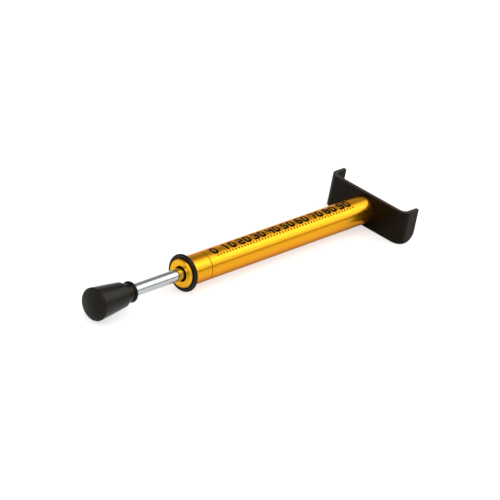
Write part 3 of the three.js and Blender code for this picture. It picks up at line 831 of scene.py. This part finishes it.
def cradleScrew(sizes):
    # A profile turned about the axis, with a hexagonal socket that ends in a point.
    start, end, head = span("cradle_screw")
    thread, land, chamfer = (sizes[key] * mm for key in ("thread", "land", "tipChamfer"))
    socket, bottom = sizes["socket"] * mm, end - sizes["socketDepth"] * mm
    soft = sizes["headRound"] * mm
    outside = rounded([
        [start, 0, 0], [start, thread, chamfer], [end - land - (head - thread), thread, 0],
        [end - land, head, soft], [end, head, soft], [end, socket, 0]])[:-1]
    inside = np.array([[end, socket], [bottom, socket], [bottom - socket / 2, 0]])
    rings = turned(np.r_[outside, inside], roundSteps["screw"], np.r_[np.zeros(len(outside)), 1, 1, 0])
    addRings("cradleScrew", rings, "barrel", "black_steel", ["cradle_screw"])


def grubScrew(sizes):
    # The same for the headless screw, which then points down.
    low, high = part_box("plug_grub_screw")
    thread, socket, edge = (sizes[key] * mm for key in ("thread", "socket", "edgeRound"))
    length = high.z - low.z
    bottom = length - sizes["socketDepth"] * mm
    outside = rounded([
        [0, 0, 0], [0, thread, edge], [length, thread, edge], [length, socket, 0]])[:-1]
    profile = np.r_[outside, [[length, socket], [bottom, socket], [bottom - socket / 2, 0]]]
    rings = turned(profile, roundSteps["screw"], np.r_[np.zeros(len(outside)), 1, 1, 0])
    down = pointedDown(rings, middle("plug_grub_screw").x, high.z)
    addRings("plugGrubScrew", down, "barrel", "black_steel", ["plug_grub_screw"])


cradleScrew(cradleScrewSizes)
grubScrew(grubScrewSizes)
print("screws made")


# Scale printed along the barrel: ticks and numbers

scaleSizes = dict(start=28.2, step=2.8, count=48, numberEvery=5, numberStep=10, tickWidth=1.1,
                  tickHeight=1.3, tickFoot=123.3, numberGap=0.5, digitWidth=5.2, digitHeight=6.7,
                  stroke=1.62, digitGap=0.9, outerRound=1.8, innerRound=0.4, endRound=0.15,
                  endLimit=1.1, slant=1.3, thickness=0.02, lift=0.002, sliceHeight=0.4, weld=1e-4,
                  sliver=2e-4)

# Each digit's loops, the outer one first, anticlockwise. A corner is its place across and its place up.
digitLoops = {
    "0": "00 30 35 05 / 11 21 24 14", "1": "40 50 55 45 64 63 44",
    "2": "00 30 31 11 12 32 35 05 04 24 23 03", "3": "00 30 35 05 04 24 23 13 12 22 21 01",
    "4": "20 30 35 25 23 13 15 05 02 22", "5": "00 30 33 13 14 34 35 05 02 22 21 01",
    "6": "00 30 33 13 14 34 35 05 / 11 21 22 12", "7": "40 50 34 35 05 04 24",
    "8": "00 30 35 05 / 11 21 22 12 / 13 23 24 14", "9": "00 30 35 05 02 22 21 01 / 13 23 24 14"}


def flatBoxes(x, height, width, thickness):
    # Eight corners for each box that stands on y 0: its centre plus half its size times -1 or 1 each way.
    corner = np.array([[i, j, k] for k in (-1, 1) for j in (-1, 1) for i in (-1, 1)]) / 2
    centre = np.stack([x, 0 * x + height / 2, 0 * x], 1)
    points = (centre[:, None] + corner[None] * [width, height, thickness]).reshape(-1, 3)
    sides = np.array([[0, 2, 3, 1], [4, 5, 7, 6], [0, 1, 5, 4], [2, 6, 7, 3], [0, 4, 6, 2], [1, 3, 7, 5]])
    return points, (sides[None] + 8 * np.arange(len(x))[:, None, None]).reshape(-1, 4)


def addNumber(curve, number, x, y, sizes):
    # Adds the loops of a number centred on x, its foot at y. A digit's places are set by its width, height
    # and stroke. Outer corners are rounded more than inner ones, and stroke ends least.
    width, height, stroke = (sizes[key] for key in ("digitWidth", "digitHeight", "stroke"))
    across = np.array([0, stroke, width - stroke, width, (width - stroke) / 2, (width + stroke) / 2,
                       width / 2 - sizes["slant"] * stroke])
    up = np.array([0, stroke, (height - stroke) / 2, (height + stroke) / 2, height - stroke, height])
    pitch = width + sizes["digitGap"]
    left = x - (len(number) * pitch - sizes["digitGap"]) / 2
    for k, digit in enumerate(number):
        for depth, loop in enumerate(digitLoops[digit].split(" / ")):
            place = np.array([[int(one) for one in corner] for corner in loop.split()])
            corner = np.stack([across[place[:, 0]], up[place[:, 1]]], 1)
            before, after = corner - np.roll(corner, 1, 0), np.roll(corner, -1, 0) - corner
            outer = (before[:, 0] * after[:, 1] > before[:, 1] * after[:, 0]) & (depth == 0)
            shorter = np.minimum(np.linalg.norm(before, axis=1), np.linalg.norm(after, axis=1))
            rounding = np.where(outer, sizes["outerRound"], sizes["innerRound"])
            strokeEnd = outer & (shorter < sizes["endLimit"] * stroke)
            rounding = np.where(strokeEnd, sizes["endRound"], rounding)
            path = rounded(np.c_[corner, rounding]) + [left + k * pitch, y]
            spline = curve.splines.new("POLY")
            spline.points.add(len(path) - 1)
            spline.points.foreach_set("co", np.c_[path, 0 * path[:, 0], 1 + 0 * path[:, 0]].ravel())
            spline.use_cyclic_u = True


def flatNumbers(places, foot, sizes):
    curve = bpy.data.curves.new("numbers", "CURVE")
    curve.dimensions = "2D"
    curve.fill_mode = "BOTH"
    curve.extrude = sizes["thickness"] / 2
    for k, x in enumerate(places):
        addNumber(curve, str(k * sizes["numberStep"]), x, foot, sizes)
    mesh = finalMesh(addObject("numbers", curve))
    bpy.data.curves.remove(curve)  # its object goes with it
    return mesh


def wrapOnBarrel(points, sizes):
    # A flat point (x, y, z) goes to station x, at the angle of the ticks' foot less y over the radius, and
    # at the barrel's radius plus z, half the ink's thickness and its lift.
    angle = np.radians(sizes["tickFoot"]) - points[:, 1] * mm / barrelRadius
    radius = barrelRadius + (points[:, 2] + sizes["thickness"] / 2 + sizes["lift"]) * mm
    station = span("front_cap")[0] + points[:, 0] * mm
    return np.stack([station, radius * np.cos(angle), radius * np.sin(angle) + axisHeight], 1)


def barrelScale(sizes):
    # Ticks and numbers are laid flat, in millimetres, cut into strips and wrapped on the barrel.
    x = sizes["start"] + np.arange(sizes["count"]) * sizes["step"]
    height = sizes["tickHeight"]
    foot = height + sizes["numberGap"]
    work = bmesh.new()
    work.from_mesh(meshFrom("ticks", *flatBoxes(x, height, sizes["tickWidth"], sizes["thickness"])))
    work.from_mesh(flatNumbers(x[::sizes["numberEvery"]], foot, sizes))
    bmesh.ops.remove_doubles(work, verts=work.verts, dist=sizes["weld"])
    for level in np.arange(sizes["sliceHeight"], foot + sizes["digitHeight"], sizes["sliceHeight"]):
        everything = work.verts[:] + work.edges[:] + work.faces[:]
        bmesh.ops.bisect_plane(work, geom=everything, plane_co=(0, level, 0), plane_no=(0, 1, 0))
    bmesh.ops.dissolve_degenerate(work, edges=work.edges, dist=sizes["sliver"])
    mesh = bpy.data.meshes.new("barrelScale")
    work.to_mesh(mesh)
    work.free()
    flat = np.zeros(len(mesh.vertices) * 3, np.float32)
    mesh.vertices.foreach_get("co", flat)
    wrapped = wrapOnBarrel(flat.reshape(-1, 3).astype(float), sizes)
    mesh.vertices.foreach_set("co", wrapped.astype(np.float32).ravel())
    mesh.update()
    addPiece("barrelScale", mesh, "barrel", "black_coat")
    mesh.materials[0] = finishOf("printInk")  # over the coat, whose slot it keeps


barrelScale(scaleSizes)
print("scale printed")


# Studio, in metres and degrees, the sensor in mm

studio = dict(ambient=0.55, floorColour=0.8, floorCamera=0.6, floorGlossy=0.4, floorSize=8.0,
              backFlag=dict(level=0.31, rise=(-0.2, 0.6), side=(-0.06, 0.32)),
              lowFlag=dict(level=0.2, height=(0.04, 0.08, 0.17, 0.23), side=(-0.35, -0.55)),
              contact=dict(near=0.004, far=0.024, fade=0.004))
lamps = dict(
    sideBox=dict(direction=(0.70, -0.37, 0.61), distance=1.2, length=1.2, width=1.05, watts=2.75),
    sideCore=dict(direction=(0.57, -0.42, 0.70), distance=1.04, length=0.6, width=0.42, watts=0.6),
    cameraFill=dict(direction=(-0.75, -0.1, 0.65), distance=1.6, length=1.0, width=1.0, watts=4.0))
cameraSizes = dict(aim=(-0.02483, -0.02517, 0.03288), distance=1.8, azimuth=52.176, elevation=27.319,
                   roll=11.029, focalPixels=2871.03, framePixels=500, sensor=36.0, clip=(0.05, 50.0))


def shareOf(tree, *rays):  # 1 where the ray is one of these kinds
    path = addNode(tree, "ShaderNodeLightPath").outputs
    total = path[rays[0]]
    for ray in rays[1:]:
        total = mathOn(tree, "MAXIMUM", total, path[ray])
    return total


def makeFloor(sizes):
    # A pale floor with a glow on top, clear from below. In reflections the glow is shaded under the barrel,
    # up to the cap's front, as the floor is.
    corners = sizes["floorSize"] / 2 * np.array([[-1, -1, 0], [1, -1, 0], [1, 1, 0], [-1, 1, 0]])
    floor = addObject("floor", meshFrom("floor", corners, [[0, 1, 2, 3]]))
    material, tree = newMaterial("floorWhite")
    tree.nodes.remove(tree.nodes["Principled BSDF"])
    diffuse = addNode(tree, "ShaderNodeBsdfDiffuse", {"Color": (sizes["floorColour"],) * 3})
    toCamera = ranged(tree, shareOf(tree, "Is Camera Ray"), 0, 1, 0, sizes["floorCamera"])
    gloss = shareOf(tree, "Is Glossy Ray", "Is Transmission Ray")
    toGloss = ranged(tree, gloss, 0, 1, 0, sizes["floorGlossy"])
    place = addNode(tree, "ShaderNodeSeparateXYZ", {
        0: addNode(tree, "ShaderNodeTexCoord").outputs["Object"]})
    aside = mathOn(tree, "ABSOLUTE", place.outputs[1])
    contact, front = sizes["contact"], span("front_cap")[0]
    shade = mathOn(tree, "MAXIMUM", smooth(tree, aside, contact["near"], contact["far"]),
                   smooth(tree, place.outputs[0], front - contact["fade"], front, 1, 0))
    strength = mathOn(tree, "ADD", toCamera, product(tree, toGloss, shade))
    glow = addNode(tree, "ShaderNodeEmission", {"Strength": strength})
    both = addNode(tree, "ShaderNodeAddShader", {0: diffuse.outputs[0], 1: glow.outputs[0]})
    clear = addNode(tree, "ShaderNodeBsdfTransparent")
    below = addNode(tree, "ShaderNodeNewGeometry").outputs["Backfacing"]
    seen = addNode(tree, "ShaderNodeMixShader", {0: below, 1: both.outputs[0], 2: clear.outputs[0]})
    feed(tree, tree.nodes["Material Output"], {"Surface": seen.outputs[0]})
    floor.data.materials.append(material)


def makeWorld(sizes):
    # White to the camera, ambient to diffuse rays, and in reflections white with two grey flags: one high on
    # the far side and a low strip on the near side.
    world = bpy.data.worlds.new("studioWorld")
    bpy.context.scene.world = world
    world.use_nodes = True
    tree = world.node_tree
    direction = addNode(tree, "ShaderNodeSeparateXYZ", {
        0: addNode(tree, "ShaderNodeTexCoord").outputs["Generated"]})
    sideways, up = direction.outputs[1], direction.outputs[2]
    back, low = sizes["backFlag"], sizes["lowFlag"]
    backShare = product(tree, smooth(tree, up, *back["rise"]), smooth(tree, sideways, *back["side"]))
    lowShare = product(tree, smooth(tree, up, *low["height"][:2]),
                       smooth(tree, up, *low["height"][2:], 1, 0), smooth(tree, sideways, *low["side"]))
    flags = product(tree, ranged(tree, backShare, 0, 1, 1, back["level"]),
                    ranged(tree, lowShare, 0, 1, 1, low["level"]))
    gloss = shareOf(tree, "Is Glossy Ray", "Is Transmission Ray")
    seen = addNode(tree, "ShaderNodeMix", {0: gloss, 2: sizes["ambient"], 3: flags}, data_type="FLOAT")
    level = addNode(tree, "ShaderNodeMix", {
        0: shareOf(tree, "Is Camera Ray"), 2: seen.outputs[0], 3: 1}, data_type="FLOAT")
    feed(tree, tree.nodes["Background"], {"Color": (1, 1, 1), "Strength": level.outputs[0]})


def makeLamp(name, sizes):  # a soft box that faces the barrel, its length along the barrel
    light = bpy.data.lights.new(name, "AREA")
    light.shape = "RECTANGLE"
    light.size, light.size_y = sizes["length"], sizes["width"]
    light.energy = sizes["watts"]
    lamp = addObject(name, light)
    towards = Vector(sizes["direction"]).normalized()
    lamp.location = towards * sizes["distance"] + Vector((0, 0, axisHeight))
    along = Vector((1, 0, 0)) - towards * towards.x
    along.normalize()
    facing = Matrix((along, towards.cross(along), towards)).transposed()
    lamp.rotation_mode = "QUATERNION"
    lamp.rotation_quaternion = facing.to_quaternion()


def makeCamera(sizes):
    data = bpy.data.cameras.new("camera")
    data.sensor_width = sizes["sensor"]
    data.lens = sizes["focalPixels"] / sizes["framePixels"] * sizes["sensor"]
    data.clip_start, data.clip_end = sizes["clip"]
    camera = addObject("camera", data)
    turn, rise, roll = (np.radians(sizes[key]) for key in ("azimuth", "elevation", "roll"))
    look = Vector((np.sin(turn) * np.cos(rise), np.cos(turn) * np.cos(rise), -np.sin(rise)))
    camera.rotation_mode = "QUATERNION"
    rolled = Matrix.Rotation(roll, 3, "Z").to_quaternion()
    camera.rotation_quaternion = look.to_track_quat("-Z", "Y") @ rolled
    camera.location = Vector(sizes["aim"]) - look * sizes["distance"]
    bpy.context.scene.camera = camera


makeFloor(studio)
makeWorld(studio)
for lampName, lampSizes in lamps.items():
    makeLamp(lampName, lampSizes)
makeCamera(cameraSizes)
bpy.context.scene.view_settings.view_transform = "Standard"
print("studio made")
